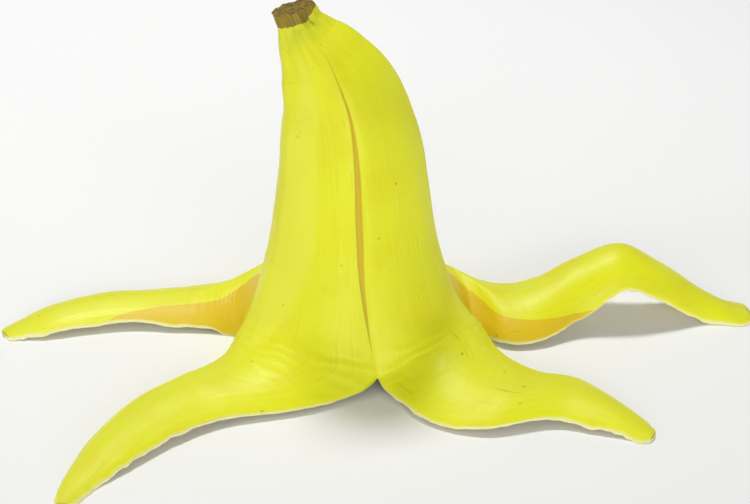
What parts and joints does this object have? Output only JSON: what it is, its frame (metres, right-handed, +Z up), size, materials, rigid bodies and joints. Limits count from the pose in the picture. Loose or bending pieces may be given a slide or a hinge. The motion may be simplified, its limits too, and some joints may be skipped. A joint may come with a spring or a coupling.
{
  "type": "banana peel",
  "caption": "Empty banana skin standing upright, the stem end still whole as a leaning hollow cone and the lower part torn into curling strips that lie spread on the floor.",
  "frame": {"origin": "centre of the bounding box at the floor, under the middle of the spread strips", "axes": "+Z up along the standing part, +X along the long way of the spread strips towards the strip with the hump, -Y the front, where the two front strips part"},
  "size_m": [0.221, 0.1212, 0.1003],
  "materials": {
    "skin": "waxy satin fruit skin outside, soft matte pith inside"
  },
  "bodies": {
    "root": {"banana_peel": "skin"}
  },
  "joints": []
}
